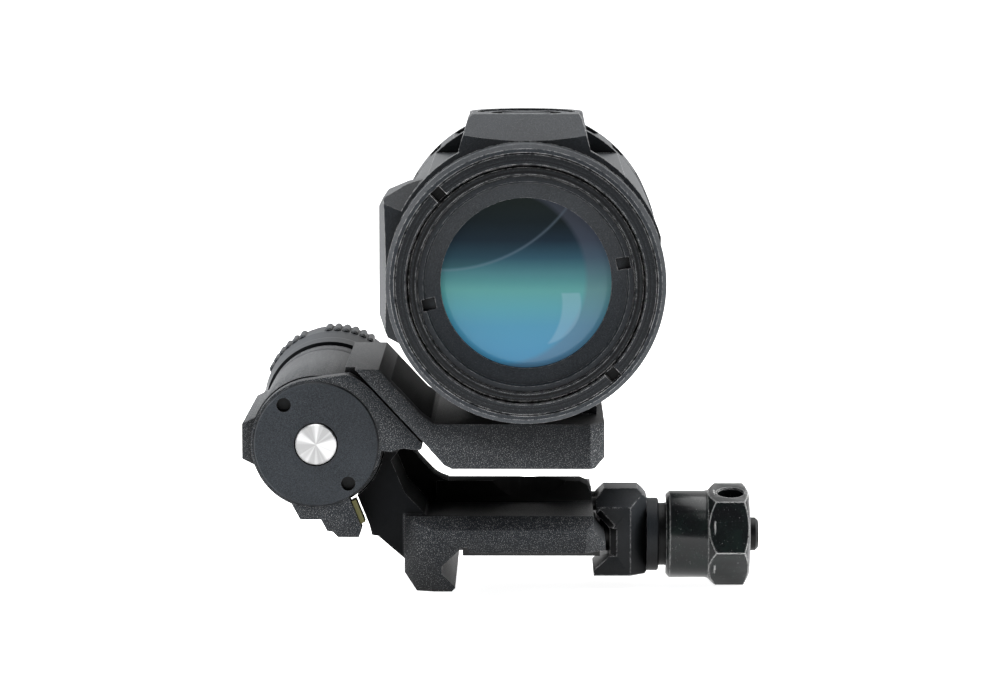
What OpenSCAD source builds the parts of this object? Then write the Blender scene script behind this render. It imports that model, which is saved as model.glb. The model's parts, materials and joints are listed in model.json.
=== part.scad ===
// Flip-to-side 3x optical magnifier on a rail clamp mount.
// X is across the rail, Y runs along the optical axis with the objective at -Y, Z is up.
// The origin is the centre of the rail seat. All sizes are in millimetres.

/* [Optic] */
// Height of the optical axis above the rail seat
axis_h = 36.6; // [36.4:0.1:38]
// Distance from the middle of the base to each end of the optic
half_len = 33.5; // [33:0.5:35]
// Outer radius of the objective barrel
barrel_r = 17.6; // [17.5:0.05:17.9]
// Radius of the clear objective aperture
clear_r = 10.75; // [10.5:0.05:11]

/* [Hinge] */
// Distance of the flip pivot to the left of the optical axis
pivot_off = 27.2; // [27.1:0.1:27.5]
// Height of the flip pivot above the rail seat
pivot_z = 14.35; // [14.25:0.05:14.6]
// Radius of the arm's hinge barrel
hinge_r = 8.65; // [8.6:0.05:8.75]
// Direction of the face that the arm rests on, measured from level
stop_angle = 43; // [42.5:0.5:43.5]

/* [Rail clamp] */
// Width across the V edges of the rail
rail_w = 21.2; // [21:0.1:21.4]
// Length of the rail base
base_len = 36; // [34:1:40]
// Diameter of the clamp bolt
bolt_d = 4.5; // [4:0.1:4.6]
// Size across the flats of the clamp nut
nut_af = 12; // [11.5:0.5:13]

/* [Hidden] */
$fn = 96;

fit = 0.05;              // radial clearance of a running fit

front_y = -half_len;     // front face of the optic
rear_y = half_len;       // rear face of the optic
plate_y = front_y + 4.5; // front of the main housing, behind the objective barrel
body_end_y = 17;         // rear of the main housing
body_r = 17.7;           // outer radius of the housing's round top
body_rise = 0.7;         // how far the housing's round top is centred above the axis
body_half_w = 17;        // half width between the housing's side flats
pocket_r = 16.2;         // radius left at the bottom of the housing's side pockets
bore_r = 14.2;           // main bore of the housing
bezel_r = 16.5;          // outer radius of the objective's threaded ring
dial_y = -18.5;          // both adjusters sit at this station
dial_r = 6.1;            // radius of an adjuster dial
boss_top_z = axis_h + 20.9;
boss_side_x = -18.65;
slope_foot_z = axis_h + 17.7;
slope_run = 3.9;         // length of the top boss's front slope along the axis
pivot_y = 6;             // erector gimbal station

pivot_x = -pivot_off;
arm_front_y = -18.5;
arm_rear_y = 12.5;
barrel_front_y = -15.9;
barrel_rear_y = 12.9;
plate_rear_y = -16;      // back of the base's front hinge plate
knuckle_y = 13.1;        // front of the base's rear knuckle
base_front_y = -base_len / 2;
base_rear_y = base_len / 2;
stop_d = 10.34;          // arm's resting face, from the pivot
slab_d = 12.61;          // arm's upper face, from the pivot
stop_gap = 0.28;         // gap left at the resting face
arm_top_z = 17;
arm_low_z = 11.1;
shoulder_z = 24.1;
sleeve_r = 5.5;
slit_angle = -68;        // direction of the clamp's slit from the pivot
slit_off = 1.7;          // how far the slit passes beside the pivot
slit_w = 0.8;
pin_r = 2.67;
lug_r = 9.8;
cross_y = 7;             // cross pin of the lock at rest
lock_travel = 4;
spring_rear_y = 4.8;

rail_half = rail_w / 2;
v_depth = 2.77;          // depth of the rail's V edge below its top
hook_z = -5.1;
block_top_z = 4.6;
block_left_x = -15.85;
block_right_x = 10.4;
ridge_half_y = 4.9;      // half length of the ridge over the bolt, and of the jaw
ridge_z = 7.1;
rib_half_y = 2.2;        // half length of the web's tall middle
bolt_r = bolt_d / 2;
bolt_z = -0.4;
guide_y = 2.6;           // guide pins beside the bolt, above it
guide_z = 4.1;
guide_r = 0.9;
jaw_right_x = 16.15;
nut_x = 18.7;
nut_end_x = 29.9;

// ---- helpers ----

function arc_pts(r, a0, a1, n, cx = 0, cy = 0) =
    [for (i = [0:n]) let (a = a0 + (a1 - a0) * i / n) [cx + r * cos(a), cy + r * sin(a)]];

// A point given by its distance from the pivot along the stop face's normal, and along the face
function on_stop(d, s) = [
    pivot_x + d * cos(stop_angle) - s * sin(stop_angle),
    pivot_z + d * sin(stop_angle) + s * cos(stop_angle)];

// A point beside the clamp's slit: across it, and along it away from the pivot
function slit_at(across, run) = [
    pivot_x + (slit_off + across) * cos(slit_angle + 90) + run * cos(slit_angle),
    pivot_z + (slit_off + across) * sin(slit_angle + 90) + run * sin(slit_angle)];

// How far along a face at distance d from the pivot the height z is reached
function stop_run(d, z) = (z - pivot_z - d * sin(stop_angle)) / cos(stop_angle);

// A cylinder along Y
module y_cyl(r, y0, y1, x, z) {
    translate([x, y0, z]) rotate([-90, 0, 0]) cylinder(r = r, h = y1 - y0);
}

// A cylinder along Y on the optical axis
module opt_cyl(r, y0, y1) {
    y_cyl(r, y0, y1, 0, axis_h);
}

// A cylinder along Y on the flip pivot
module piv_cyl(r, y0, y1) {
    y_cyl(r, y0, y1, pivot_x, pivot_z);
}

// A cylinder along X at the clamp bolt's height
module x_cyl(r, x0, x1, y = 0, z = bolt_z) {
    translate([x0, y, z]) rotate([0, 90, 0]) cylinder(r = r, h = x1 - x0);
}

// Extrude an outline drawn in X and Z from y0 to y1
module along_y(y0, y1) {
    translate([0, y1, 0]) rotate([90, 0, 0]) linear_extrude(y1 - y0) children();
}

// Turn an outline of [radius, y] points about the optical axis
module opt_turned(points) {
    translate([0, 0, axis_h]) rotate([-90, 0, 0]) rotate_extrude() polygon(points);
}

// Turn an outline of [radius, y] points about the flip pivot
module piv_turned(points) {
    translate([pivot_x, 0, pivot_z]) rotate([-90, 0, 0]) rotate_extrude() polygon(points);
}

// Turn an outline of [radius, x] points about the clamp bolt's axis
module bolt_turned(points) {
    translate([0, 0, bolt_z]) rotate([0, 90, 0]) rotate_extrude() polygon(points);
}

// Height of a spherical cap of curvature c over an aperture of radius r
function cap(c, r) = sign(c) * (abs(c) - sqrt(c * c - r * r));

// A lens of radius r between the edges y0 and y1. A positive curve stands out, a negative one
// is hollow.
module lens(r, y0, y1, curve_front, curve_rear) {
    n = 14;
    front = [for (i = [0:n]) let (q = r * i / n) [q, y0 - cap(curve_front, r) + cap(curve_front, q)]];
    rear = [for (i = [n:-1:0]) let (q = r * i / n) [q, y1 + cap(curve_rear, r) - cap(curve_rear, q)]];
    opt_turned(concat(front, rear));
}

// A round wire wound into a coil about the flip pivot
module pivot_coil(r, wire_r, y0, y1, turns) {
    steps = turns * 14;
    sides = 7;
    function at(i, j) =
        let (a = 360 * turns * i / steps, b = 360 * j / sides, q = r + wire_r * cos(b))
        [pivot_x + q * cos(a), y0 + wire_r + (y1 - y0 - 2 * wire_r) * i / steps + wire_r * sin(b),
            pivot_z + q * sin(a)];
    points = [for (i = [0:steps]) for (j = [0:sides - 1]) at(i, j)];
    walls = [for (i = [0:steps - 1]) for (j = [0:sides - 1])
        [i * sides + j, i * sides + (j + 1) % sides, (i + 1) * sides + (j + 1) % sides,
            (i + 1) * sides + j]];
    first = [for (j = [0:sides - 1]) sides - 1 - j];
    last = [for (j = [0:sides - 1]) steps * sides + j];
    polyhedron(points, concat(walls, [first], [last]), convexity = 10);
}

// ---- rail base and clamp ----

// Section of the base block with its fixed claw
module base_outline() {
    vee = -(rail_half + 0.35);
    lip = -9.2;
    polygon([
        [block_right_x, 0], [block_right_x, 1], [8.8, 2.8], [8.8, block_top_z],
        [block_left_x, block_top_z], [block_left_x, -2.9], [-14.2, hook_z], [lip - 0.45, hook_z],
        [lip, hook_z + 0.45], [lip, -v_depth - (lip - vee)], [vee, -v_depth], [vee, -1.8],
        [-8.3, 0.7], [-7.7, 0.7], [-7.3, 0]]);
}

// Section of the ridge over the clamp bolt
module ridge_outline() {
    polygon([[-12, 4], [8.8, 4], [8.8, 5.5], [8.2, 6.6], [7.2, ridge_z], [-12, ridge_z]]);
}

// Section of the low web that joins the block to the hinge over the whole length
module web_outline() {
    polygon([
        [-20.1, 1.95], [-19.3, 1.85], [-15.7, -1.25], [-9, 1.2], [-9, block_top_z], [-13, block_top_z],
        [-15.8, 7.5], [-17.6, 11.8], on_stop(stop_d - stop_gap, stop_run(stop_d - stop_gap, 15.7)),
        on_stop(stop_d - stop_gap, -4.2), [pivot_x + 8.1, pivot_z + 2.6],
        [pivot_x + 4, pivot_z - 5.4], slit_at(0.45, 8.2), slit_at(0.45, 12.6)]);
}

// Section of the tall middle of the web, with the fillet that runs onto the ridge
module web_middle_outline() {
    polygon(concat(
        [[-18, 0], [-10.4, 0]],
        arc_pts(4.6, 257, 228, 6, -9.4, ridge_z + 4.6),
        [[-14.2, 10.1], [-15.6, 11.9], on_stop(stop_d - stop_gap, stop_run(stop_d - stop_gap, 15.7)),
            [-19.5, 12.3]]));
}

// Section of the front hinge plate with its wing up to the stop face
module front_plate_outline() {
    d = stop_d - stop_gap;
    ring_r = hinge_r - 0.2;
    difference() {
        union() {
            translate([pivot_x, pivot_z]) circle(r = ring_r);
            polygon(concat(
                [[pivot_x, pivot_z]],
                [[-15, 13.1], on_stop(d - 0.5, stop_run(d - 0.5, 13.7)),
                    on_stop(d, stop_run(d, 14.3)), on_stop(d, 0)],
                arc_pts(d, stop_angle, stop_angle + 22, 8, pivot_x, pivot_z),
                [[pivot_x + ring_r * cos(98), pivot_z + ring_r * sin(98)]]));
        }
        // arched pocket under the wing
        polygon([[-23, 6.1], [-22, 8], [-19.4, 11.4], [-17.95, 13.05], [-16.8, 13.65], [-15.8, 13.8],
            [-14.9, 13.65], [-12, 13.4], [-12, 6.1]]);
    }
    // lower lug and the split clamp's ear
    polygon([[-30.5, 6.65], [-29.3, 4.45], [-26.6, 4.45], [-25.8, 2.95], [-25.1, 2.85],
        [-24.4, 2.15], [-21.7, 2.15], slit_at(0, 12.1), slit_at(0, 7)]);
}

// The ridge over the bolt, with bevelled ends and a sloped scoop in its front
module ridge() {
    scoop_r = 9.3;
    scoop_tilt = 18;
    difference() {
        along_y(-ridge_half_y, ridge_half_y) ridge_outline();
        for (side = [-1, 1]) {
            translate([0, side * ridge_half_y, ridge_z]) rotate([45, 0, 0])
                cube([40, 3.8, 3.8], center = true);
        }
        translate([0.4, 2.2, ridge_z - 0.1 + scoop_r / cos(scoop_tilt)])
            rotate([scoop_tilt - 90, 0, 0]) cylinder(r = scoop_r, h = 40, center = true);
    }
}

// Plan of the corner cuts at one end of the block
module corner_cuts(end_y) {
    polygon([[block_left_x - 1, end_y - 1], [block_left_x - 1, end_y + 2.3],
        [block_left_x, end_y + 2.3], [block_left_x + 1.5, end_y + 0.85],
        [block_left_x + 4, end_y], [block_left_x + 4, end_y - 1]]);
    polygon([[block_right_x + 1, end_y - 1], [block_right_x - 2.5, end_y - 1],
        [block_right_x - 2.5, end_y], [block_right_x, end_y + 2.5],
        [block_right_x + 1, end_y + 2.5]]);
}

module rail_base() {
    color([0.13, 0.13, 0.14]) difference() {
        union() {
            along_y(base_front_y, base_rear_y) base_outline();
            ridge();
            // the web, the front hinge plate and the rear knuckle
            along_y(-15.6, base_rear_y) web_outline();
            along_y(-rib_half_y, rib_half_y) web_middle_outline();
            along_y(arm_front_y, -15.6) front_plate_outline();
            piv_cyl(hinge_r, knuckle_y, base_rear_y);
        }
        // long bevels on the front and rear of the block
        for (side = [-1, 1]) {
            translate([0, side * base_len / 2, block_top_z]) rotate([45, 0, 0])
                cube([40, 2.3, 2.3], center = true);
        }
        // bevels on the block's upright corners
        translate([0, 0, hook_z - 1]) linear_extrude(block_top_z - hook_z + 1.1) {
            corner_cuts(base_front_y);
            mirror([0, 1]) corner_cuts(base_front_y);
        }
        // room for the arm's barrel and for its lug as the arm swings over
        piv_cyl(hinge_r + 0.2, plate_rear_y, knuckle_y);
        along_y(plate_rear_y, knuckle_y) polygon(concat([[pivot_x, pivot_z]],
            arc_pts(lug_r + 0.4, 150, 291, 24, pivot_x, pivot_z)));
        // room for the arm's shoulder above the web
        along_y(plate_rear_y, knuckle_y) polygon([[pivot_x, pivot_z],
            [pivot_x + 12 * cos(23), pivot_z + 12 * sin(23)], [pivot_x + 12, pivot_z + 14],
            [pivot_x - 12, pivot_z + 14]]);
        // seat of the pivot cap, and the bore that holds the pivot sleeve
        piv_cyl(8.17, arm_front_y - 1, arm_front_y + 1.2);
        piv_cyl(sleeve_r, arm_front_y - 1, base_rear_y - 1.4);
        piv_cyl(3.2, base_rear_y - 2, base_rear_y + 1);
        // split of the pivot clamp
        along_y(arm_front_y - 1, -15.5) polygon([slit_at(-slit_w / 2, 4), slit_at(slit_w / 2, 4),
            slit_at(slit_w / 2, 16), slit_at(-slit_w / 2, 16)]);
        // slot of the recoil key
        translate([-8.5, -2.55, -1]) cube([20, 5.1, 3.2]);
        // clamp bolt and its head
        x_cyl(bolt_r + fit, -20, 12);
        x_cyl(3.7, -20, -12.6);
        // guide pins
        for (y = [-guide_y, guide_y]) x_cyl(guide_r, 3.4, 12, y, guide_z);
    }
}

module recoil_key() {
    color([0.3, 0.3, 0.31]) difference() {
        translate([-8.5, -2.5, -3]) cube([18.4, 5, 5.2]);
        x_cyl(bolt_r + fit, -20, 12);
    }
}

module clamp_bolt() {
    color([0.2, 0.2, 0.21]) difference() {
        bolt_turned([[0, -15.2], [3.4, -15.2], [3.6, -15], [3.6, -12.7], [bolt_r, -12.7],
            [bolt_r, 30.8], [bolt_r - 0.4, 31.2], [0, 31.2]]);
        // hexagon socket
        translate([-15.3, 0, bolt_z]) rotate([0, 90, 0]) cylinder(r = 1.75, h = 1.8, $fn = 6);
    }
}

module jaw_guide_pins() {
    color([0.62, 0.62, 0.62]) for (y = [-guide_y, guide_y]) x_cyl(guide_r, 3.6, 12.8, y, guide_z);
}

// A square bar standing on its edge, for cutting a 45 degree bevel of a given width
module bevel_bar(width, length) {
    side = width * sqrt(2);
    rotate([0, 0, 45]) translate([-side / 2, -side / 2, 0]) cube([side, side, length]);
}

module clamp_jaw() {
    top = 6.2;
    low = -5.3;
    notch_x = rail_half + 0.6;
    color([0.16, 0.16, 0.18]) difference() {
        along_y(-ridge_half_y, ridge_half_y) polygon([
            [9.05, low], [8.96, -4.6], [notch_x, -2.5], [notch_x, 0.95], [9.35, 2.95], [9.35, 4.95],
            [10.4, top], [14.9, top], [jaw_right_x, 4.95], [jaw_right_x, low + 0.3],
            [jaw_right_x - 0.3, low]]);
        // bevels over the front and rear ends
        for (side = [-1, 1]) {
            translate([0, side * ridge_half_y, top]) rotate([0, 90, 0]) bevel_bar(2.3, 25);
            translate([jaw_right_x, side * ridge_half_y, -10]) bevel_bar(2.2, 20);
            translate([notch_x, side * ridge_half_y, -2.6]) bevel_bar(0.9, 3.7);
            translate([notch_x, side * ridge_half_y, 0.9]) rotate([0, -42.8, 0]) bevel_bar(0.9, 2.9);
        }
        x_cyl(bolt_r + 0.1, 5, 20);
        for (y = [-guide_y, guide_y]) x_cyl(guide_r + fit, 5, 13.6, y, guide_z);
    }
}

module jaw_washer() {
    color([0.15, 0.15, 0.16]) difference() {
        bolt_turned([[0, jaw_right_x], [4.9, jaw_right_x], [4.9, 17.55], [4.7, 17.75], [0, 17.75]]);
        x_cyl(bolt_r + 0.1, 15, 20);
    }
}

module jaw_collar() {
    color([0.1, 0.1, 0.1]) difference() {
        x_cyl(4.2, 17.75, 19.25);
        x_cyl(bolt_r + 0.1, 15, 20);
    }
}

module clamp_nut() {
    hex_x = 25;
    corner_r = nut_af / 2 / cos(30);
    tilt = -17;
    color([0.07, 0.07, 0.08]) difference() {
        union() {
            bolt_turned([[0, nut_x], [5.35, nut_x], [5.85, nut_x + 0.5], [5.85, 23.9],
                [6.1, hex_x + 0.2], [0, hex_x + 0.2]]);
            intersection() {
                translate([hex_x - 0.8, 0, bolt_z]) rotate([tilt, 0, 0]) rotate([0, 90, 0])
                    cylinder(r = corner_r, h = nut_end_x - hex_x + 0.8, $fn = 6);
                bolt_turned([[0, hex_x - 0.8], [5.8, hex_x - 0.8], [corner_r + 0.15, hex_x + 0.5],
                    [corner_r + 0.15, nut_end_x - 0.85], [5.7, nut_end_x], [0, nut_end_x]]);
            }
        }
        x_cyl(bolt_r + fit, 10, 40);
        x_cyl(4.25, nut_x - 1, 19.35);
        // tommy-bar hole in one flat
        translate([27.4, 0, bolt_z]) rotate([tilt + 30, 0, 0]) translate([0, 0, 2.9]) {
            cylinder(r = 1.7, h = 6);
            translate([0, 0, nut_af / 2 - 3.2]) cylinder(r1 = 1.6, r2 = 2.4, h = 0.8);
        }
    }
}

// ---- pivot and lock ----

module pivot_sleeve() {
    color([0.45, 0.45, 0.46]) difference() {
        piv_cyl(sleeve_r, arm_front_y + 1.2, base_rear_y - 1.5);
        piv_cyl(pin_r + fit, arm_front_y, 0);
        // spring chamber, and the rod's bearing behind it
        piv_cyl(4.4, -10, spring_rear_y + 0.2);
        piv_cyl(2, 0, base_rear_y);
        // slots that let the cross pin travel
        translate([pivot_x - 10, cross_y - 1.05, pivot_z - 1.05])
            cube([20, lock_travel + 2.1, 2.1]);
    }
}

module pivot_cap() {
    color([0.12, 0.12, 0.13]) difference() {
        piv_turned([[0, arm_front_y - 0.25], [7.92, arm_front_y - 0.25],
            [8.12, arm_front_y - 0.05], [8.12, arm_front_y + 1.2], [0, arm_front_y + 1.2]]);
        piv_cyl(pin_r + 0.18, arm_front_y - 1, arm_front_y + 2);
        // two holes for a pin spanner
        for (a = [129, 309]) {
            piv_spot(a, 6.6) cylinder(r = 0.93, h = 1.1);
        }
    }
}

// Place a shape on the cap's front face at an angle and a radius from the pivot
module piv_spot(angle, radius) {
    translate([pivot_x + radius * cos(angle), arm_front_y - 0.3, pivot_z + radius * sin(angle)])
        rotate([-90, 0, 0]) children();
}

module pivot_shim() {
    half = slit_w / 2 - 0.1;
    color([0.45, 0.4, 0.22]) along_y(arm_front_y + 0.4, -15.7) polygon([slit_at(-half, 8.7),
        slit_at(half, 8.7), slit_at(half, 11.9), slit_at(-half, 11.9)]);
}

module thrust_washers() {
    color([0.7, 0.55, 0.3]) {
        difference() {
            piv_cyl(7.4, plate_rear_y, plate_rear_y + 0.7);
            piv_cyl(sleeve_r, -20, 20);
        }
        difference() {
            piv_cyl(7.4, knuckle_y - 0.7, knuckle_y);
            piv_cyl(sleeve_r, -20, 20);
        }
    }
}

module lock_pin() {
    color([0.85, 0.85, 0.85]) difference() {
        piv_turned([[0, arm_front_y - 0.45], [pin_r - 0.15, arm_front_y - 0.45],
            [pin_r, arm_front_y - 0.3], [pin_r, -9.9], [4, -9.9], [4, -8.6], [1.9, -8.6],
            [1.9, 34], [0, 34]]);
        // hole of the cross pin, and the knob screw's thread
        translate([pivot_x - 5, cross_y, pivot_z]) rotate([0, 90, 0]) cylinder(r = 0.9, h = 10);
        piv_cyl(0.9, 27, 35);
    }
}

module lock_cross_pin() {
    color([0.6, 0.6, 0.6]) translate([pivot_x - 6.9, cross_y, pivot_z]) rotate([0, 90, 0])
        cylinder(r = 0.9, h = 13.8);
}

module lock_spring() {
    color([0.7, 0.7, 0.68]) pivot_coil(3.3, 0.4, -8.5, spring_rear_y, 6);
}

module release_knob() {
    grip_r = 9.6;
    bead_r = 0.55;
    color([0.12, 0.12, 0.13]) difference() {
        union() {
            piv_turned([[0, 19], [9.05, 19], [9.3, 21.6], [9.3, 22.4], [9.6, 25], [9.4, 25.6],
                [grip_r, 27.2], [grip_r, 34.4], [9.2, 35.2], [0, 35.2]]);
            // grip beads in six groups
            for (group = [0:5]) {
                for (bead = [0:5]) {
                    piv_at(60 * group + 16 + 7.4 * (bead - 2.5), grip_r - 0.1) bead_shape(bead_r);
                }
            }
        }
        // hollow front, the rod's socket and the screw's seat
        piv_cyl(7.6, 18, 26);
        piv_cyl(1.9, 18, 34);
        piv_cyl(1.1, 18, 40);
        piv_cyl(2.6, 34, 40);
    }
}

// Place a shape at an angle and a radius about the pivot
module piv_at(angle, radius) {
    translate([pivot_x + radius * cos(angle), 0, pivot_z + radius * sin(angle)]) children();
}

// One grip bead: a short rod with round ends, turned from its outline
module bead_shape(r) {
    rotate([-90, 0, 0]) rotate_extrude($fn = 20) polygon([[0, 27.5], [0.6 * r, 27.6], [r, 28.1],
        [r, 33.5], [0.6 * r, 34], [0, 34.1]]);
}

module knob_screw() {
    color([0.35, 0.35, 0.36]) difference() {
        union() {
            piv_cyl(2.4, 34, 35);
            piv_cyl(0.9, 28, 34.5);
        }
        translate([pivot_x, 34.2, pivot_z]) rotate([-90, 0, 0]) cylinder(r = 1.1, h = 2, $fn = 6);
    }
}

// ---- swing arm ----

// Section of the sloped arm and its level platform
module arm_outline() {
    low = on_stop(stop_d, stop_run(stop_d, 13.9));
    polygon(concat(
        [on_stop(stop_d, stop_run(stop_d, shoulder_z)), on_stop(slab_d, stop_run(slab_d, shoulder_z))],
        [on_stop(slab_d, stop_run(slab_d, arm_top_z + 1.2)),
            on_stop(slab_d, stop_run(slab_d, arm_top_z + 1.2)) + [1.7, -1.2]],
        [[10.2, arm_top_z], [10.2, arm_low_z + 1.3], [8.9, arm_low_z], [-9.6, arm_low_z]],
        [[-10.6, arm_low_z + 0.5]],
        [low + [0.4, -0.5], low]));
}

// Section of the shoulder between the hinge barrel and the sloped arm
module shoulder_outline() {
    deep = stop_d + 1;
    polygon([[pivot_x, pivot_z], [pivot_x + 3.5, shoulder_z - 2], [pivot_x + 3.7, shoulder_z],
        on_stop(deep, stop_run(deep, shoulder_z)), on_stop(deep, -3.6)]);
}

// Section of the hinge barrel and its stop lug
module barrel_outline() {
    translate([pivot_x, pivot_z]) circle(r = hinge_r);
    polygon([[pivot_x - 6, pivot_z - 3.2], [pivot_x - 8, pivot_z - 3.2],
        [pivot_x - lug_r, pivot_z - 2.3], [pivot_x - lug_r, pivot_z + 2.3],
        [pivot_x - 8, pivot_z + 3.2], [pivot_x - 6, pivot_z + 3.2]]);
}

screw_spots = [for (x = [-4.5, 5.5]) for (y = [-4, 8]) [x, y]];

module swing_arm() {
    color([0.15, 0.15, 0.16]) difference() {
        union() {
            along_y(arm_front_y, arm_rear_y) arm_outline();
            along_y(barrel_front_y, barrel_rear_y) barrel_outline();
            along_y(barrel_front_y, arm_rear_y) shoulder_outline();
        }
        // chamfer on the platform's front corner
        translate([10.2, arm_front_y, arm_top_z]) rotate([0, 0, 45]) cube([2.6, 2.6, 20], center = true);
        translate([10.2, arm_rear_y, arm_top_z]) rotate([0, 0, 45]) cube([2.6, 2.6, 20], center = true);
        // pivot bore and the seats of the thrust washers
        piv_cyl(sleeve_r + fit, -20, 20);
        piv_cyl(7.5, barrel_front_y - 1, plate_rear_y + 0.75);
        piv_cyl(7.5, knuckle_y - 0.75, barrel_rear_y + 1);
        // arc tracks of the lock's cross pin
        for (side = [0, 180]) {
            along_y(cross_y - 1.1, barrel_rear_y + 1) polygon(concat([[pivot_x, pivot_z]],
                arc_pts(7.2, side - 100, side + 10, 22, pivot_x, pivot_z)));
        }
        // countersunk holes of the saddle screws
        for (p = screw_spots) {
            translate([p[0], p[1], arm_low_z - 1]) cylinder(r = 1.5, h = 10);
            translate([p[0], p[1], arm_low_z - 1]) cylinder(r = 2.9, h = 3);
        }
    }
}

module saddle_screws() {
    color([0.2, 0.2, 0.2]) for (p = screw_spots) {
        difference() {
            union() {
                translate([p[0], p[1], arm_low_z + 0.5]) cylinder(r = 2.8, h = 1.5);
                translate([p[0], p[1], arm_low_z + 1.5]) cylinder(r = 1.5, h = 7);
            }
            translate([p[0], p[1], arm_low_z]) cylinder(r = 1.2, h = 1.6, $fn = 6);
        }
    }
}

// ---- optical tube ----

// Section of the housing at its end plates
module plate_outline() {
    intersection() {
        translate([0, axis_h + body_rise]) circle(r = body_r);
        translate([-body_half_w, axis_h - 20]) square([2 * body_half_w, 40]);
    }
}

// Section of the saddle block under the tube
module saddle_outline() {
    polygon([[-8.3, axis_h - 10], [-8.3, arm_top_z + 1.4], [-7.9, arm_top_z + 0.4],
        [-6.9, arm_top_z], [9.3, arm_top_z], [9.3, axis_h - 10]]);
}

module tube_body() {
    color([0.14, 0.14, 0.15]) difference() {
        union() {
            // objective barrel
            opt_turned([[0, front_y], [barrel_r - 0.55, front_y], [barrel_r, front_y + 0.6],
                [barrel_r, plate_y + 1], [0, plate_y + 1]]);
            // end plates, the cheeks between them and the round core
            along_y(plate_y, plate_y + 2.2) plate_outline();
            along_y(body_end_y - 2.2, body_end_y) plate_outline();
            along_y(plate_y + 1, body_end_y - 1) intersection() {
                plate_outline();
                translate([-20, 0]) square([40, axis_h + 13.3]);
            }
            opt_cyl(pocket_r, plate_y + 1, body_end_y - 1);
            // spigot that carries the diopter ring
            opt_cyl(15.5, body_end_y - 1, 27);
            top_boss();
            side_boss();
            along_y(-8.8, 12.3) saddle_outline();
        }
        // the top slope carried across the front plate, and the bosses' turned front
        translate([-8.1, 0, 0]) rotate([90, 0, 90]) linear_extrude(16) polygon([
            [plate_y, slope_foot_z], [plate_y + slope_run, boss_top_z],
            [plate_y + slope_run, boss_top_z + 2], [plate_y, boss_top_z + 2]]);
        opt_turned([[barrel_r + 0.05, plate_y - 1], [26, plate_y - 1], [26, plate_y + 3],
            [barrel_r + 0.05, plate_y]]);
        // bores: the bezel's thread, the cell's seat and the main bore
        opt_cyl(bezel_r + fit, front_y - 1, front_y + 5.6);
        opt_cyl(15.35, front_y, front_y + 11.3);
        opt_cyl(bore_r, front_y, 28);
        // elevation adjuster: dial recess and stem bore
        translate([0, dial_y, boss_top_z - 2]) cylinder(r = dial_r + 0.2, h = 5);
        translate([0, dial_y, axis_h]) cylinder(r = 2.6, h = 25);
        // windage adjuster: dial recess and stem bore
        x_cyl(dial_r + 0.2, boss_side_x - 5, boss_side_x + 2, dial_y, axis_h);
        x_cyl(2.6, boss_side_x - 5, 0, dial_y, axis_h);
        // bearings of the gimbal's pins
        translate([0, pivot_y, axis_h - 15.6]) cylinder(r = 1 + fit, h = 31.2);
        // guide slot of the eyepiece key
        translate([-1.05, 18, axis_h + 10]) cube([2.1, 10, 5]);
        // threads of the saddle screws
        for (p = screw_spots) {
            translate([p[0], p[1], arm_top_z - 1]) cylinder(r = 1.5, h = 3.6);
        }
    }
}

// Top boss: a cone round the elevation dial, run out to the front with a sloped end
module top_boss() {
    base_z = axis_h + 12;
    intersection() {
        union() {
            along_y(plate_y, dial_y) polygon([[-8.6, base_z], [-8.5, axis_h + 16.6],
                [-7.4, boss_top_z - 0.6], [-6.9, boss_top_z], [6.7, boss_top_z],
                [7.1, boss_top_z - 0.6], [8.1, axis_h + 16.6], [8.3, base_z]]);
            translate([0, dial_y, base_z])
                cylinder(r1 = 9, r2 = 7.2, h = boss_top_z - base_z);
        }
        translate([-15, 0, 0]) rotate([90, 0, 90]) linear_extrude(30) polygon([
            [plate_y, axis_h], [plate_y, slope_foot_z], [plate_y + slope_run, boss_top_z],
            [0, boss_top_z], [0, axis_h]]);
    }
}

// Side boss with sloped ends and a sloped upper shoulder
module side_boss() {
    rear = -9;
    intersection() {
        along_y(plate_y, rear) polygon([[-11, axis_h + 13.2], [-15, axis_h + 12.1],
            [boss_side_x + 0.8, axis_h + 10.5], [boss_side_x, axis_h + 9.3],
            [boss_side_x, axis_h - 4.5], [boss_side_x + 1.15, axis_h - 7.2],
            [boss_side_x + 2.9, axis_h - 8.1], [-11, axis_h - 8.6]]);
        linear_extrude(80) polygon([[0, plate_y], [boss_side_x + 0.95, plate_y],
            [boss_side_x, plate_y + 3.4], [boss_side_x, rear - 3], [boss_side_x + 2.1, rear],
            [0, rear]]);
        translate([-30, 0, 0]) rotate([90, 0, 90]) linear_extrude(30) polygon([
            [plate_y, axis_h - 15], [plate_y, axis_h + 8.7], [plate_y + 4.4, axis_h + 13.2],
            [rear, axis_h + 9.5], [rear, axis_h - 15]]);
    }
}

// Cut a ring's face with two spanner slots
module slot_pair(angle, r0, r1, depth_y, width) {
    translate([0, depth_y, axis_h]) rotate([0, -angle, 0]) for (side = [0, 180]) {
        rotate([0, side, 0]) translate([r0, -5, -width / 2]) cube([r1 - r0, 5, width]);
    }
}

module objective_bezel() {
    color([0.13, 0.13, 0.14]) difference() {
        opt_turned([[15, front_y + 0.15], [15.15, front_y], [bezel_r - 0.15, front_y],
            [bezel_r, front_y + 0.15], [bezel_r, front_y + 4], [15, front_y + 4]]);
        slot_pair(134, 14.5, 18, front_y + 1.1, 1.5);
    }
}

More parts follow.
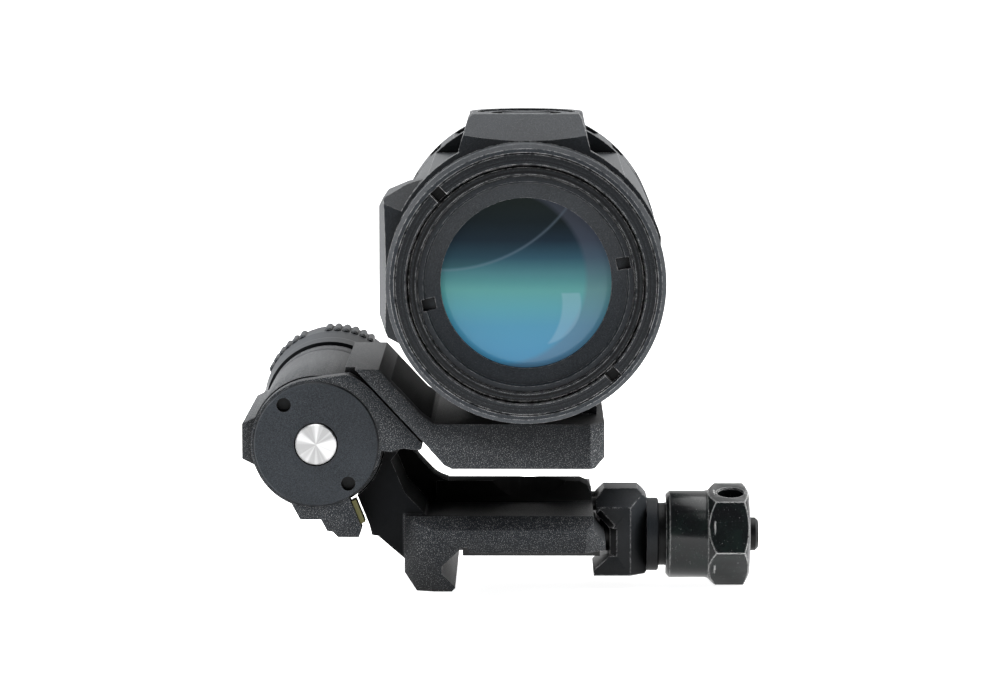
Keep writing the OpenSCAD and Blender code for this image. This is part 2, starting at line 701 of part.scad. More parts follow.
module objective_cell() {
    color([0.1, 0.1, 0.11]) opt_turned([
        [13.65, front_y + 0.5], [13.85, front_y + 0.3], [14.7, front_y + 0.3],
        [14.9, front_y + 0.5], [14.9, front_y + 4.1], [bezel_r, front_y + 4.1],
        [bezel_r, front_y + 5.6], [15.3, front_y + 5.6], [15.3, front_y + 7.5],
        [14.7, front_y + 7.5], [14.7, front_y + 8.7], [15.3, front_y + 8.7],
        [15.3, front_y + 11.2],
        [10.2, front_y + 11.2], [10.2, front_y + 8.8], [11.6, front_y + 8.8],
        [11.6, front_y + 2.7], [13.65, front_y + 2.7]]);
}

module objective_retainer() {
    color([0.09, 0.09, 0.1]) difference() {
        opt_turned([[13.6, front_y + 0.75], [13.6, front_y + 2.7], [11.55, front_y + 2.7],
            [11.55, front_y + 3.05], [clear_r, front_y + 3.05], [clear_r, front_y + 2.1],
            [12.7, front_y + 1.3], [12.9, front_y + 0.75]]);
        slot_pair(12, 11.6, 13.3, front_y + 1.9, 1.5);
    }
}

lens_y = front_y + 3.3;  // front edge of the objective lens
crown_front = 33;
crown_rear = 30;

module objective_crown() {
    color([0.2, 0.5, 0.6, 0.6]) lens(11.5, lens_y, lens_y + 1, crown_front,
        crown_rear);
}

module objective_flint() {
    color([0.3, 0.55, 0.6, 0.6]) lens(11.5, lens_y + 1, lens_y + 5.5,
        -crown_rear, -160);
}

module objective_seal() {
    color([0.06, 0.06, 0.06]) translate([0, front_y + 5.6 + 2, axis_h]) rotate([-90, 0, 0])
        rotate_extrude() translate([14.75, 0]) square([0.55, 1]);
}

module erector_gimbal() {
    color([0.5, 0.45, 0.3]) difference() {
        union() {
            opt_cyl(13.6, pivot_y - 2.2, pivot_y + 2.2);
            translate([0, pivot_y, axis_h - 15.4]) cylinder(r = 1, h = 30.8);
        }
        opt_cyl(10.6, pivot_y - 5, pivot_y + 5);
        x_cyl(1 + fit, -20, 20, pivot_y, axis_h);
    }
}

module erector_tube() {
    color([0.12, 0.12, 0.12]) difference() {
        union() {
            opt_cyl(9, -21, 9.5);
            opt_cyl(9.6, -21, -16);
            x_cyl(1, -13, 13, pivot_y, axis_h);
        }
        opt_cyl(7.2, -22, 10);
        opt_cyl(8, -22, -14);
        opt_cyl(8, 2, 10);
    }
}

module erector_front_lens() {
    color([0.6, 0.75, 0.8, 0.6]) lens(8, -19, -15.6, 26, 26);
}

module erector_rear_lens() {
    color([0.6, 0.75, 0.8, 0.6]) lens(8, 3.4, 6.6, 26, 26);
}

// A bowed leaf between the housing's bore and the erector, opposite both plungers
module erector_spring() {
    bow_r = 12;
    thick = 0.35;
    half_arc = 32;
    away = 22.1;
    cx = away * cos(-45);
    cz = axis_h + away * sin(-45);
    color([0.65, 0.6, 0.4]) along_y(-20.5, -16.5) polygon(concat(
        arc_pts(bow_r, 135 - half_arc, 135 + half_arc, 16, cx, cz),
        arc_pts(bow_r - thick, 135 + half_arc, 135 - half_arc, 16, cx, cz)));
}

// ---- adjusters ----

// Adjuster dial in its own frame, with the outer face at z = 0 and the stem below it
module dial_shape() {
    difference() {
        union() {
            cylinder(r = dial_r - 0.25, h = 1.5);
            translate([0, 0, -3.6]) cylinder(r = 2.55, h = 3.7);
        }
        // ring groove round the hub
        translate([0, 0, 0.9]) difference() {
            cylinder(r = 4.5, h = 1);
            cylinder(r = 3.1, h = 3, center = true);
        }
        // coin slot
        translate([-2.9, -0.55, 0.7]) cube([5.8, 1.1, 1]);
        // blind bore of the plunger
        translate([0, 0, -4]) cylinder(r = 1.55, h = 4.2);
        // grip notches on the rim
        for (i = [0:23]) {
            rotate([0, 0, 15 * i]) translate([dial_r - 0.25, 0, 0.9]) cylinder(r = 0.3, h = 1, $fn = 16);
        }
    }
}

module elevation_dial() {
    color([0.2, 0.2, 0.21]) translate([0, dial_y, boss_top_z - 1.7]) dial_shape();
}

module elevation_plunger() {
    color([0.7, 0.7, 0.7]) translate([0, dial_y, axis_h + 9.7]) cylinder(r = 1.5, h = 8.6);
}

module windage_dial() {
    color([0.2, 0.2, 0.21]) translate([boss_side_x + 1.7, dial_y, axis_h]) rotate([0, -90, 0])
        dial_shape();
}

module windage_plunger() {
    color([0.7, 0.7, 0.7]) x_cyl(1.5, boss_side_x + 1.9, -9.7, dial_y, axis_h);
}

module dial_seals() {
    color([0.06, 0.06, 0.06]) {
        translate([0, dial_y, boss_top_z - 1.9]) rotate_extrude() translate([3.4, 0]) circle(r = 0.1);
        translate([boss_side_x + 1.9, dial_y, axis_h]) rotate([0, 90, 0]) rotate_extrude()
            translate([3.4, 0]) circle(r = 0.1);
    }
}

// ---- eyepiece ----

module diopter_ring() {
    outer = 18.15;
    color([0.13, 0.13, 0.14]) difference() {
        opt_turned([[15.55, 17.8], [outer - 0.6, 17.8], [outer, 18.4], [outer, rear_y - 1],
            [outer - 0.9, rear_y], [14.6, rear_y], [14.3, rear_y - 0.3], [14.3, 28], [15.55, 28]]);
        // grip flutes
        for (i = [0:23]) {
            translate([0, 0, axis_h]) rotate([0, 15 * i, 0]) translate([outer + 1.1, 21, 0])
                rotate([-90, 0, 0]) cylinder(r = 1.7, h = 10, $fn = 32);
        }
    }
}

module eyepiece_cell() {
    color([0.1, 0.1, 0.1]) difference() {
        opt_turned([[0, 17.6], [bore_r - 0.1, 17.6], [bore_r - 0.1, 31.7], [13.8, 32.1], [0, 32.1]]);
        opt_cyl(10.2, 10, 40);
        opt_cyl(11.6, 22.4, 40);
        opt_cyl(13.2, 29.6, 40);
        translate([-1.05, 21.9, axis_h + 12.6]) cube([2.1, 3.2, 3]);
    }
}

module eyepiece_key() {
    color([0.6, 0.6, 0.6]) translate([-1, 22, axis_h + 12.6]) cube([2, 3, 2.2]);
}

module field_lens() {
    color([0.6, 0.75, 0.8, 0.6]) lens(11.5, 22.6, 25, -60, 24);
}

module eye_lens() {
    color([0.6, 0.75, 0.8, 0.6]) lens(11.5, 28, 29.6, -90, 50);
}

module eyepiece_retainer() {
    color([0.1, 0.1, 0.1]) difference() {
        opt_turned([[13.15, 29.85], [13.15, 31.4], [12.4, 31.4], [clear_r, 31], [clear_r, 29.85]]);
        translate([0, 36, 0]) slot_pair(90, 11.3, 12.9, 0, 1.5);
    }
}

rail_base();
recoil_key();
clamp_bolt();
jaw_guide_pins();
clamp_jaw();
jaw_washer();
jaw_collar();
clamp_nut();
pivot_sleeve();
pivot_cap();
pivot_shim();
thrust_washers();
lock_pin();
lock_cross_pin();
lock_spring();
release_knob();
knob_screw();
swing_arm();
saddle_screws();
tube_body();
objective_bezel();
objective_cell();
objective_retainer();
objective_crown();
objective_flint();
objective_seal();
erector_gimbal();
erector_tube();
erector_front_lens();
erector_rear_lens();
erector_spring();
elevation_dial();
elevation_plunger();
windage_dial();
windage_plunger();
dial_seals();
diopter_ring();
eyepiece_cell();
field_lens();
eye_lens();
eyepiece_retainer();
eyepiece_key();
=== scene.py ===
"""A flip-to-side optical magnifier on a rail clamp mount: materials, soft edges, lens and studio."""

import json
import math

import bmesh
import bpy
from mathutils import Matrix, Vector


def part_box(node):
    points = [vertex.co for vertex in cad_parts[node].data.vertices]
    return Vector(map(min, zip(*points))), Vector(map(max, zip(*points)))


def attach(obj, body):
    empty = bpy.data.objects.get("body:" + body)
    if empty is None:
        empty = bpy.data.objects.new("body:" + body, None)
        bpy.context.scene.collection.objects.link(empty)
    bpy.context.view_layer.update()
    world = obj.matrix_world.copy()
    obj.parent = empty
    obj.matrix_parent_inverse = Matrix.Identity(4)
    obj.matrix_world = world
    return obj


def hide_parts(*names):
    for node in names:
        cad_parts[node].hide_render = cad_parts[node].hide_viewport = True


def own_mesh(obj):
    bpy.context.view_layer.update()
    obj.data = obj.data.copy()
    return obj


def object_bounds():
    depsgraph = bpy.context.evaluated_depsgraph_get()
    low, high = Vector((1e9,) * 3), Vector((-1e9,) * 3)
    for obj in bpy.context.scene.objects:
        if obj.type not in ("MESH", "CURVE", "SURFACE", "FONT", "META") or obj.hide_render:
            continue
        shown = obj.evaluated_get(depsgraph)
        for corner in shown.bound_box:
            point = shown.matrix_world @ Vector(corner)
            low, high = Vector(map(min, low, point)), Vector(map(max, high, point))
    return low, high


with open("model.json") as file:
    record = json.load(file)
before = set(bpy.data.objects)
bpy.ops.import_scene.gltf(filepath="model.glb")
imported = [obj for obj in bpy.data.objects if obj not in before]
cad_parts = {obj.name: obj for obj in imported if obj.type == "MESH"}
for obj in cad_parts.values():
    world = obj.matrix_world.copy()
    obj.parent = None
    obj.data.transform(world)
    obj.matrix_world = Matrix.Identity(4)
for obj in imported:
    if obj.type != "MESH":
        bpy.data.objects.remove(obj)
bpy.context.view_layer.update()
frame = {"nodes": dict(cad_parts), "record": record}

MM = 0.001
CLEAR_R = 10.8           # the objective's clear radius in millimetres
NODES = frame["nodes"]
NODE_BODY = {n: b for b, ns in frame["record"]["behaviour"]["bodies"].items() for n in ns}
SLOT = {s["node"]: s["material_slot"] for s in frame["record"]["subparts"]}


def bore_centre(node):
    """The x and z, in metres, of the line along Y that a turned node is centred on."""
    low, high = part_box(node)
    return (low.x + high.x) / 2, (low.z + high.z) / 2


# ---- camera ----

def add_camera():
    """The photograph's view: from in front of the objective, a little above it, with a long lens."""
    low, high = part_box("objective_bezel")
    target = Vector(((low.x + high.x) / 2, low.y, (low.z + high.z) / 2))
    pitch = math.radians(6.69)
    yaw = math.radians(0.44)
    distance = 485 * MM
    right_of_axis = 3.25 * MM
    above_axis = 8.13 * MM
    ahead = Vector((-math.sin(yaw) * math.cos(pitch), math.cos(yaw) * math.cos(pitch), -math.sin(pitch)))
    right = Vector((math.cos(yaw), math.sin(yaw), 0))
    up = right.cross(ahead)
    camera = bpy.data.objects.new("camera", bpy.data.cameras.new("camera"))
    camera.data.lens = 139.7
    camera.data.sensor_width = 36
    camera.data.clip_start = 0.01
    place = target - distance * ahead - right_of_axis * right - above_axis * up
    turn = Matrix((right, up, -ahead)).transposed().to_4x4()
    camera.matrix_world = Matrix.Translation(place) @ turn
    bpy.context.scene.collection.objects.link(camera)
    bpy.context.scene.camera = camera


# ---- material helpers ----

class Nodes:
    """A material's node tree, built by short calls."""

    def __init__(self, name):
        self.material = bpy.data.materials.new(name)
        self.material.use_nodes = True
        self.tree = self.material.node_tree
        self.shader = self.tree.nodes["Principled BSDF"]
        self.spot = self.add("ShaderNodeTexCoord").outputs["Object"]

    def add(self, kind, **values):
        node = self.tree.nodes.new(kind)
        for key, value in values.items():
            if key in node.inputs:
                self.feed(node.inputs[key], value)
            else:
                setattr(node, key, value)
        return node

    def feed(self, socket, value):
        if isinstance(value, bpy.types.NodeSocket):
            self.tree.links.new(value, socket)
        else:
            socket.default_value = value

    def noise(self, size, detail=2.0, rough=0.5, vector=None):
        """Noise whose lumps are about `size` millimetres across."""
        node = self.add("ShaderNodeTexNoise", Vector=vector or self.spot, Scale=1 / (size * MM))
        node.inputs["Detail"].default_value = detail
        node.inputs["Roughness"].default_value = rough
        return node.outputs["Fac"]

    def remap(self, value, low, high, to_low=0.0, to_high=1.0):
        node = self.add("ShaderNodeMapRange")
        self.feed(node.inputs["Value"], value)
        for key, number in zip(("From Min", "From Max", "To Min", "To Max"), (low, high, to_low, to_high)):
            node.inputs[key].default_value = number
        return node.outputs["Result"]

    def about(self, centre):
        """Distance and angle round a line along Y through centre, given as x and z in metres."""
        split = self.add("ShaderNodeSeparateXYZ", Vector=self.spot)
        across = self.math("SUBTRACT", split.outputs["X"], centre[0])
        up = self.math("SUBTRACT", split.outputs["Z"], centre[1])
        square = self.math("ADD", self.math("MULTIPLY", across, across), self.math("MULTIPLY", up, up))
        return self.math("SQRT", square), self.math("ARCTAN2", up, across)

    def math(self, operation, a, b=0.0):
        node = self.add("ShaderNodeMath", operation=operation)
        self.feed(node.inputs[0], a)
        self.feed(node.inputs[1], b)
        return node.outputs[0]

    def mix(self, factor, a, b):
        node = self.add("ShaderNodeMix", data_type="RGBA")
        self.feed(node.inputs["Factor"], factor)
        for socket, value in zip(("A", "B"), (a, b)):
            colour = next(s for s in node.inputs if s.name == socket and s.type == "RGBA")
            self.feed(colour, value if isinstance(value, bpy.types.NodeSocket) else (*value, 1))
        return next(s for s in node.outputs if s.type == "RGBA")

    def edge(self, radius, low=0.06, high=0.3):
        """1 along sharp outer edges within `radius` millimetres, 0 on flats."""
        bevel = self.add("ShaderNodeBevel", samples=4, Radius=radius * MM)
        flat = self.add("ShaderNodeNewGeometry").outputs["Normal"]
        dot = self.add("ShaderNodeVectorMath", operation="DOT_PRODUCT")
        self.tree.links.new(bevel.outputs["Normal"], dot.inputs[0])
        self.tree.links.new(flat, dot.inputs[1])
        return self.remap(self.math("SUBTRACT", 1.0, dot.outputs["Value"]), low, high)

    def inside(self, low, high, soft=0.15):
        """1 inside a box given by two corners in millimetres, 0 outside."""
        split = self.add("ShaderNodeSeparateXYZ", Vector=self.spot)
        found = 1.0
        for axis, a, b in zip("XYZ", low, high):
            place = split.outputs[axis]
            above = self.remap(place, (a - soft) * MM, (a + soft) * MM)
            below = self.remap(place, (b - soft) * MM, (b + soft) * MM, 1.0, 0.0)
            found = self.math("MULTIPLY", found, self.math("MULTIPLY", above, below))
        return found

    def open_sky(self, reach, power=2.0):
        """1 on open surfaces, falling to 0 deep in gaps, within `reach` millimetres: the factor by which
        shade is painted into gaps.
        """
        shade = self.add("ShaderNodeAmbientOcclusion", samples=6, Distance=reach * MM)
        return self.math("POWER", shade.outputs["AO"], power)

    def bump(self, height, distance, strength=1.0):
        node = self.add("ShaderNodeBump", Strength=strength, Distance=distance * MM)
        self.feed(node.inputs["Height"], height)
        self.feed(self.shader.inputs["Normal"], node.outputs["Normal"])

    def set(self, **values):
        for key, value in values.items():
            self.feed(self.shader.inputs[key.replace("_", " ")], value)


def grey(value, blue=0.0):
    return (value, value * (1 + blue * 0.45), value * (1 + blue))


def anodised(name, dark, rough, grain, grain_depth, sparkle=0.0, wear=0.25, blue=0.35, wear_width=0.12,
             wear_range=(0.03, 0.2), reach=16, painted_shade_boxes=(), turned=None):
    """Black anodised aluminium. grain is the blasted texture's size in millimetres.

    The shade boxes, as low and high corners in millimetres, are dull, and their colour is darkened there as
    painted shade.
    turned is a point, as x and z in metres, about which the surface shows fine turned rings.
    """
    m = Nodes(name)
    grains = m.noise(grain, 2.0, 0.6)
    # painted glints: sparkle sets how strongly bright specks, standing for glints of light, are painted into
    # the colour
    glints = m.math("MULTIPLY", m.remap(m.noise(grain * 0.8, 0.0), 0.62, 0.74), sparkle)
    cloud = m.remap(m.noise(5, 3.0), 0.3, 0.7)
    base = m.mix(m.remap(grains, 0.35, 0.68), grey(dark * 0.45, blue), grey(dark * 1.6, blue))
    shade = m.mix(m.math("MULTIPLY", cloud, 0.35), base, grey(dark * 1.7, blue))
    lit = m.mix(glints, shade, grey(0.3))
    gloss = m.remap(grains, 0.3, 0.7, rough - 0.06, rough + 0.08)
    # painted shade: inside each box the colour is darkened where shade falls, and the roughness is raised to
    # full
    for box in painted_shade_boxes:
        covered = m.inside(*box)
        lit = m.mix(covered, lit, grey(dark * 0.3, blue))
        gloss = m.math("MAXIMUM", gloss, covered)
    if turned:
        radius, _ = m.about(turned)
        across = m.add("ShaderNodeCombineXYZ", X=radius)
        rings = m.remap(m.noise(0.5, 3.0, 0.6, across.outputs[0]), 0.42, 0.58)
        lit = m.mix(rings, grey(dark * 0.15, blue), lit)
    chips = m.math("MULTIPLY", m.edge(wear_width, *wear_range), m.remap(m.noise(0.7, 3.0, 0.7), 0.4, 0.56))
    worn = m.math("MULTIPLY", chips, wear)
    # painted shade: the colour falls to near black in gaps and recesses, by ambient occlusion within reach
    # millimetres
    gap_shaded = m.mix(m.open_sky(reach, 2.4), grey(0.0015), lit)
    m.set(Base_Color=m.mix(worn, gap_shaded, grey(0.6)))
    m.set(Roughness=gloss, Specular_IOR_Level=0.17, IOR=1.5)
    m.bump(grains, grain_depth)
    return m.material


def oxide_steel(name):
    """Glossy black oxide, rubbed bright along its edges."""
    m = Nodes(name)
    smear = m.noise(2.5, 3.0, 0.6)
    rubs = m.math("MULTIPLY", m.edge(0.3, 0.01, 0.07), m.remap(m.noise(0.5, 4.0, 0.7), 0.3, 0.5))
    specks = m.math("MULTIPLY", m.remap(m.noise(0.15, 1.0), 0.72, 0.8), 0.3)
    wear = m.math("MAXIMUM", rubs, specks)
    tint = m.mix(m.remap(smear, 0.4, 0.7), (0.006, 0.0065, 0.007), (0.007, 0.012, 0.0105))
    m.set(Base_Color=m.mix(wear, tint, (0.7, 0.7, 0.69)))
    m.set(Roughness=m.remap(smear, 0.3, 0.7, 0.14, 0.24), IOR=1.5, Specular_IOR_Level=0.3)
    m.bump(m.noise(1.5, 2.0), 0.01)
    return m.material


def turned_steel(name, centre):
    """Bright steel with fine turned rings about a line along Y through centre, and a painted highlight that
    fans out by angle round that line.
    """
    bright = 0.62
    m = Nodes(name)
    radius, angle = m.about(centre)
    across = m.add("ShaderNodeCombineXYZ", X=radius)
    rings = m.noise(0.14, 2.0, 0.7, across.outputs[0])
    # painted highlight: the colour goes lighter and darker by angle round the line, as fans of reflected
    # light
    fan = m.add("ShaderNodeCombineXYZ", X=m.math("COSINE", angle), Y=m.math("SINE", angle))
    painted_highlight_rays = m.add("ShaderNodeTexNoise", Vector=fan.outputs[0], Scale=1.6)
    tone = m.remap(painted_highlight_rays.outputs["Fac"], 0.42, 0.58)
    m.set(Base_Color=m.mix(tone, grey(bright * 0.6), grey(bright)))
    m.set(Metallic=1.0, Roughness=m.remap(rings, 0.3, 0.7, 0.26, 0.4))
    m.bump(rings, 0.012)
    return m.material


def plain_metal(name, colour, rough):
    m = Nodes(name)
    mottle = m.noise(0.8, 3.0)
    m.set(Base_Color=m.mix(m.remap(mottle, 0.3, 0.7), tuple(c * 0.75 for c in colour), colour))
    m.set(Metallic=1.0, Roughness=m.remap(mottle, 0.3, 0.7, rough, rough + 0.15))
    m.bump(m.noise(0.2), 0.004)
    return m.material


def rubber(name):
    m = Nodes(name)
    m.set(Base_Color=m.mix(m.noise(0.4), grey(0.01), grey(0.025)), Roughness=0.6)
    m.bump(m.noise(0.2), 0.01)
    return m.material


def lens_glass(name, node):
    """Coated glass over a dark inside, its colour painted reflection and shade by height: olive at the top,
    teal in the middle, blue low down.
    """
    m = Nodes(name)
    centre = bore_centre(node)
    lens_r = CLEAR_R * MM
    place = m.add("ShaderNodeSeparateXYZ", Vector=m.spot)
    height = m.remap(place.outputs["Z"], centre[1] - lens_r, centre[1] + lens_r)
    ramp = m.add("ShaderNodeValToRGB", Fac=height)
    # painted reflection and shade: colour stops by height across the lens, dark at the top, teal and blue
    # lower down
    reflection_stops = [(0.02, (0.065, 0.25, 0.43)), (0.25, (0.062, 0.25, 0.38)), (0.36, (0.075, 0.285, 0.34)),
             (0.46, (0.092, 0.3, 0.295)), (0.56, (0.07, 0.195, 0.22)), (0.65, (0.034, 0.085, 0.12)),
             (0.75, (0.017, 0.03, 0.045)), (0.86, (0.013, 0.018, 0.02)), (0.97, (0.018, 0.022, 0.017))]
    elements = ramp.color_ramp.elements
    elements[0].position, elements[0].color = reflection_stops[0][0], (*reflection_stops[0][1], 1)
    elements[1].position, elements[1].color = reflection_stops[-1][0], (*reflection_stops[-1][1], 1)
    for position, colour in reflection_stops[1:-1]:
        elements.new(position).color = (*colour, 1)

    def disc(across, up, size, soft):
        """1 inside a circle given in lens radii from the centre, 0 outside."""
        far, _ = m.about((centre[0] + across * lens_r, centre[1] + up * lens_r))
        return m.remap(far, (size - soft) * lens_r, (size + soft) * lens_r, 1.0, 0.0)

    colour = ramp.outputs["Color"]
    arc_across, arc_up, arc_size = -1.03, 2.05, 1.9
    # painted shadow: the lens is darkened above a large arc
    shadow = m.math("MULTIPLY", disc(arc_across, arc_up, arc_size, 0.03), 0.4)
    colour = m.mix(shadow, colour, (0.016, 0.024, 0.03))
    # painted reflection: a thin pale line along the edge of that arc
    outer, inner = (disc(arc_across, arc_up, arc_size + gap, 0.012) for gap in (0.02, -0.005))
    colour = m.mix(m.math("MULTIPLY", m.math("SUBTRACT", outer, inner), 0.16), colour, (0.3, 0.4, 0.5))
    # painted reflection: purple-grey at the lens rim, mostly on the right
    rim_reflection = m.math("MULTIPLY", m.math("SUBTRACT", 1.0, disc(-0.32, 0.06, 1.02, 0.03)), 0.4)
    colour = m.mix(rim_reflection, colour, (0.1, 0.11, 0.15))
    # painted reflection: a pale blue window patch low on the lens, between two circles
    right_side, left_side = disc(0.162, -0.24, 0.479, 0.012), disc(-0.324, -0.234, 0.746, 0.012)
    window_reflection = m.math("MAXIMUM", m.math("SUBTRACT", right_side, left_side), 0.0)
    below = m.remap(place.outputs["Z"], centre[1] - 0.12 * lens_r, centre[1] - 0.1 * lens_r, 1.0, 0.0)
    window_reflection = m.math("MULTIPLY", window_reflection, below)
    colour = m.mix(m.math("MULTIPLY", window_reflection, 0.3), colour, (0.3, 0.45, 0.55))
    m.set(Base_Color=m.mix(0.5, colour, (0, 0, 0)), IOR=1.25)
    m.set(Roughness=m.remap(m.noise(3), 0.3, 0.7, 0.03, 0.06))
    # painted glow: the lens emits its painted reflection colour, so it shows without light on it
    m.set(Emission_Color=colour, Emission_Strength=0.42)
    return m.material


def build_materials():
    """One material for each slot that isn't wholly covered by NODE_LOOKS."""
    return {
        "satin_black": anodised("satin_black", 0.022, 0.45, 0.1, 0.006, sparkle=0.06, wear=0.06, blue=0.4),
        "tube_black": anodised("tube_black", 0.02, 0.42, 0.12, 0.006, sparkle=0.12, wear=0.9, wear_width=0.2,
                               reach=6),
        "matt_black": anodised("matt_black", 0.017, 0.5, 0.12, 0.004, sparkle=0.08, wear=1.0, wear_width=0.2,
                               reach=6),
        "gloss_black_steel": oxide_steel("gloss_black_steel"),
        "dark_steel": plain_metal("dark_steel", grey(0.05), 0.35),
        "bright_steel": turned_steel("bright_steel", bore_centre("pivot_cap")),
        "bronze": plain_metal("bronze", (0.6, 0.43, 0.22), 0.35),
        "brass_strip": plain_metal("brass_strip", (0.1, 0.095, 0.045), 0.35),
        "seal_rubber": rubber("seal_rubber"),
        "coated_glass": lens_glass("coated_glass", "objective_crown"),
    }


MATERIALS = build_materials()
# boxes in millimetres where the blasted parts are dull and their colour is darkened as painted shade: the
# recessed web under the arm and the slope under the tube
WEB_SPACE = ((-24, -17.6, 4.75), (9, 13, 13))
LOW_WEB_SPACE = ((-24, -17.6, -1), (-16, 13, 6))
SLOPE_SPACE = ((-17.6, -15.8, 17.3), (6, 13, 30))


NODE_LOOKS = {
    "rail_base": anodised("blasted_black_base", 0.02, 0.5, 0.13, 0.02, sparkle=0.9,
                          painted_shade_boxes=(WEB_SPACE, LOW_WEB_SPACE)),
    "swing_arm": anodised("blasted_black_arm", 0.02, 0.5, 0.13, 0.02, sparkle=0.9,
                          painted_shade_boxes=(SLOPE_SPACE,)),
    "clamp_jaw": anodised("jaw_black", 0.022, 0.45, 0.1, 0.006, sparkle=0.06, blue=0.4, wear=0.5,
                          wear_width=0.3, wear_range=(0.01, 0.07)),
    "clamp_bolt": anodised("bolt_black", 0.006, 0.4, 0.12, 0.01, wear=0.0),
    "jaw_collar": anodised("collar_black", 0.006, 0.45, 0.12, 0.01, wear=0.0),
    "objective_bezel": anodised("bezel_black", 0.014, 0.42, 0.12, 0.006, sparkle=0.2, wear=0.9,
                                wear_width=0.2, reach=6, turned=bore_centre("objective_bezel")),
    "objective_cell": anodised("cell_black", 0.01, 0.5, 0.12, 0.004, sparkle=0.15, wear=0.7,
                               wear_width=0.2, reach=6, turned=bore_centre("objective_cell")),
    "objective_retainer": anodised("retainer_black", 0.017, 0.5, 0.12, 0.004, sparkle=0.08, wear=0.4,
                                   wear_width=0.12, reach=4),
}


def look_of(node):
    return NODE_LOOKS[node] if node in NODE_LOOKS else MATERIALS[SLOT[node]]


# ---- pieces ----

def softened(node, width):
    """A CAD node's shape with its sharp edges rounded by width millimetres."""
    sharpest_left = math.radians(32)
    mesh = NODES[node].data.copy()
    work = bmesh.new()
    work.from_mesh(mesh)
    bmesh.ops.remove_doubles(work, verts=work.verts, dist=0.0005 * MM)
    bmesh.ops.dissolve_limit(work, angle_limit=math.radians(0.6), verts=work.verts, edges=work.edges)
    work.to_mesh(mesh)
    work.free()
    piece = bpy.data.objects.new(node + "_shell", mesh)
    bpy.context.scene.collection.objects.link(piece)
    mesh.materials.clear()
    mesh.materials.append(look_of(node))
    for polygon in mesh.polygons:
        polygon.use_smooth = True
    round_off = piece.modifiers.new("round", "BEVEL")
    round_off.width = width * MM
    round_off.segments = 2
    round_off.limit_method = "ANGLE"
    round_off.angle_limit = sharpest_left
    round_off.harden_normals = True
    round_off.use_clamp_overlap = True
    round_off.miter_outer = "MITER_ARC"
    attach(piece, NODE_BODY[node])
    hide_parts(node)
    return piece


def sag(curve, radius):
    """Depth of a sphere's cap: curve is the sphere's radius, radius the cap's, in metres."""
    return curve - math.sqrt(curve * curve - radius * radius)


def polished_lens(node, front_curve, rear_curve):
    """A lens turned finely enough for clean reflections, in place of the CAD node's facets.

    The curves are the radii of its two spherical faces in millimetres.
    """
    around, steps = 144, 28
    low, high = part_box(node)
    radius = (high.x - low.x) / 2
    fractions = [k / steps for k in range(1, steps + 1)]
    profile = [(radius * t, low.y + sag(front_curve * MM, radius * t)) for t in fractions]
    profile += [(radius * t, high.y - sag(rear_curve * MM, radius * t)) for t in reversed(fractions)]
    centre = Vector(((low.x + high.x) / 2, 0, (low.z + high.z) / 2))
    work = bmesh.new()
    front_pole = work.verts.new(centre + Vector((0, low.y, 0)))
    rear_pole = work.verts.new(centre + Vector((0, high.y, 0)))
    rings = []
    for reach, depth in profile:
        turns = [2 * math.pi * k / around for k in range(around)]
        rings.append([work.verts.new(centre + Vector((reach * math.cos(a), depth, reach * math.sin(a))))
                      for a in turns])
    for k in range(around):
        following = (k + 1) % around
        work.faces.new((front_pole, rings[0][k], rings[0][following]))
        work.faces.new((rear_pole, rings[-1][following], rings[-1][k]))
        for near, far in zip(rings, rings[1:]):
            work.faces.new((near[k], far[k], far[following], near[following]))
    bmesh.ops.recalc_face_normals(work, faces=work.faces)
    mesh = bpy.data.meshes.new(node + "_polished")
    work.to_mesh(mesh)
    work.free()
    for polygon in mesh.polygons:
        polygon.use_smooth = True
    mesh.materials.append(MATERIALS[SLOT[node]])
    piece = bpy.data.objects.new(node + "_polished", mesh)
    bpy.context.scene.collection.objects.link(piece)
    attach(piece, NODE_BODY[node])
    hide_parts(node)


def pressed_spring(node):
    """The lock spring: its own copy of the CAD node's mesh, attached to its body in place of the node."""
    mesh = NODES[node].data.copy()
    mesh.materials.clear()
    mesh.materials.append(look_of(node))
    piece = bpy.data.objects.new(node + "_coil", mesh)
    bpy.context.scene.collection.objects.link(piece)
    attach(piece, NODE_BODY[node])
    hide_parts(node)
    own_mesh(piece)


def dress_nodes(skip):
    """Give every CAD node that still shows its material."""
    for name, node in NODES.items():
        if name in skip:
            continue
        node.data.materials.clear()
        node.data.materials.append(look_of(name))


# ---- studio ----

# name, place from the object's middle in metres, size in metres, watts
LIGHTS = (
    ("top_box", (0, 0.1, 0.6), (0.7, 0.6), 5),
    ("left_box", (-0.6, 0.15, 0.3), (0.4, 0.5), 4),
    ("right_box", (0.6, 0.1, 0.25), (0.4, 0.5), 2.5),
    ("front_box", (-0.2, -0.5, 0.75), (0.3, 0.3), 1.2),
)


def add_area(name, place, aim, size, power):
    light = bpy.data.lights.new(name, "AREA")
    light.shape = "RECTANGLE"
    light.size, light.size_y = size
    light.energy = power
    lamp = bpy.data.objects.new(name, light)
    lamp.location = place
    lamp.rotation_euler = (Vector(aim) - Vector(place)).to_track_quat("-Z", "Y").to_euler()
    bpy.context.scene.collection.objects.link(lamp)


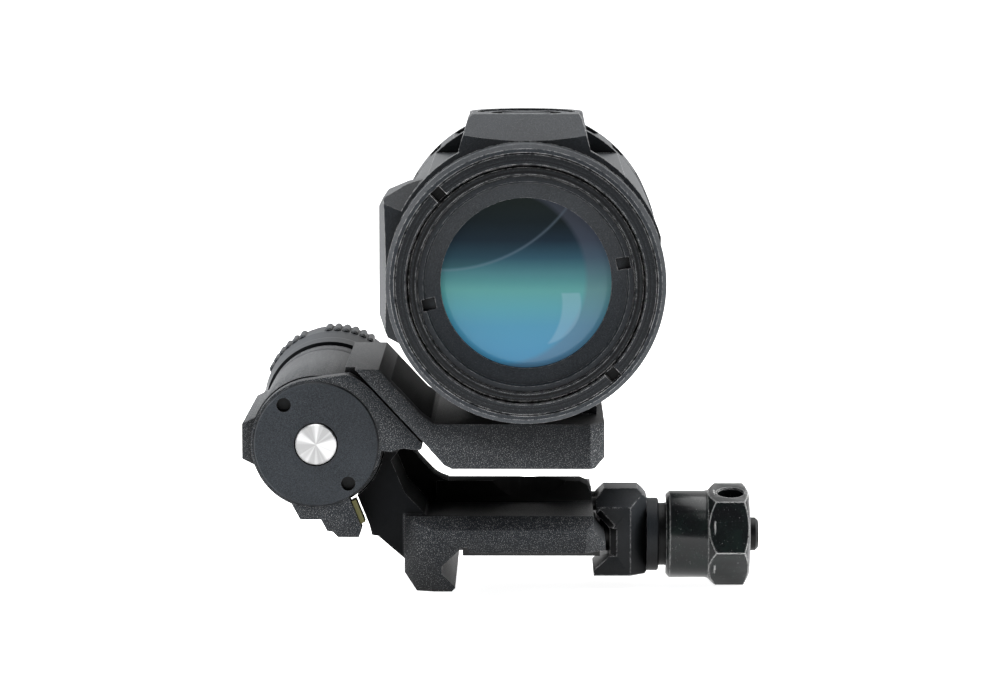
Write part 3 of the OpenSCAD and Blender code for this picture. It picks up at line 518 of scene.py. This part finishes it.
def add_floor(middle, level):
    """A white floor, darker well in front of the object, where only reflections see it."""
    mesh = bpy.data.meshes.new("floor")
    reach = 30.0
    mesh.from_pydata([(-reach, -reach, 0), (reach, -reach, 0), (reach, reach, 0), (-reach, reach, 0)],
                     [], [(0, 1, 2, 3)])
    floor = bpy.data.objects.new("floor", mesh)
    floor.location = (middle.x, middle.y, level)
    bpy.context.scene.collection.objects.link(floor)
    m = Nodes("floor_paint")
    place = m.add("ShaderNodeSeparateXYZ", Vector=m.spot)
    near = m.remap(place.outputs["Y"], -0.5, -0.12)
    cloth = m.mix(m.noise(400, 1.0), grey(0.86), grey(0.9))
    tone = m.mix(near, grey(0.12), cloth)
    m.set(Base_Color=tone, Roughness=0.9, Specular_IOR_Level=0.0)
    m.set(Emission_Color=tone, Emission_Strength=1.05)
    mesh.materials.append(m.material)


def add_studio():
    """A white floor, a room that darkens towards the camera, and four soft lights."""
    low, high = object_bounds()
    middle = (Vector(low) + Vector(high)) / 2
    add_floor(middle, low[2] - 0.1 * MM)

    world = bpy.data.worlds.new("studio")
    world.use_nodes = True
    tree = world.node_tree
    back = tree.nodes["Background"]
    back.inputs["Strength"].default_value = 1.0
    sky = tree.nodes.new("ShaderNodeTexCoord")
    split = tree.nodes.new("ShaderNodeSeparateXYZ")
    tree.links.new(sky.outputs["Generated"], split.inputs[0])
    ramp = tree.nodes.new("ShaderNodeValToRGB")
    front, side, rear = (0.08, 0.085, 0.095), (0.45, 0.46, 0.49), (1.05, 1.05, 1.05)
    ramp.color_ramp.elements[0].position = 0.1
    ramp.color_ramp.elements[0].color = (*front, 1)
    ramp.color_ramp.elements[1].position = 0.8
    ramp.color_ramp.elements[1].color = (*rear, 1)
    ramp.color_ramp.elements.new(0.5).color = (*side, 1)
    shift = tree.nodes.new("ShaderNodeMapRange")
    shift.inputs["From Min"].default_value = -1
    tree.links.new(split.outputs["Y"], shift.inputs["Value"])
    tree.links.new(shift.outputs["Result"], ramp.inputs["Fac"])
    tree.links.new(ramp.outputs["Color"], back.inputs["Color"])
    bpy.context.scene.world = world

    for name, offset, size, watts in LIGHTS:
        add_area(name, middle + Vector(offset), middle, size, watts)
    bpy.context.scene.view_settings.view_transform = "Standard"


# ---- build ----

add_camera()
SOFT_EDGES = {"rail_base": 0.12, "swing_arm": 0.12, "clamp_jaw": 0.12, "clamp_nut": 0.18}
for node_name, edge_width in SOFT_EDGES.items():
    softened(node_name, edge_width)
polished_lens("objective_crown", front_curve=33, rear_curve=30)
pressed_spring("lock_spring")
dress_nodes({*SOFT_EDGES, "objective_crown", "lock_spring"})
add_studio()
